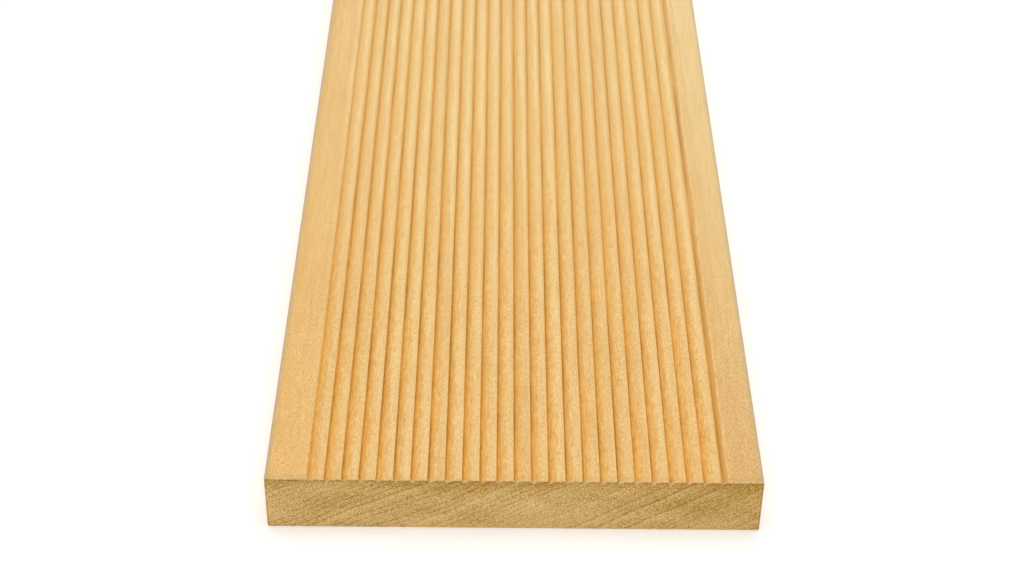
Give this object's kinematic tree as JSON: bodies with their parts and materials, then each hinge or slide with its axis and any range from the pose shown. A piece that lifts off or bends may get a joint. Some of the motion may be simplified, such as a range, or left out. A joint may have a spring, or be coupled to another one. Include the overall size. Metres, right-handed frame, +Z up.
{
  "type": "decking board",
  "caption": "Flat hardwood decking board with fine anti-slip grooves along its top face, plain margins, eased long edges and square-cut ends.",
  "frame": {"origin": "middle of the underside, on the floor", "axes": "+Y along the board, +Z up out of the grooved face, +X across the board"},
  "size_m": [0.145, 1.83, 0.019],
  "materials": {
    "wood": "bare planed hardwood, satin, with milled grooves"
  },
  "bodies": {
    "root": {"decking_board": "wood"}
  },
  "joints": []
}
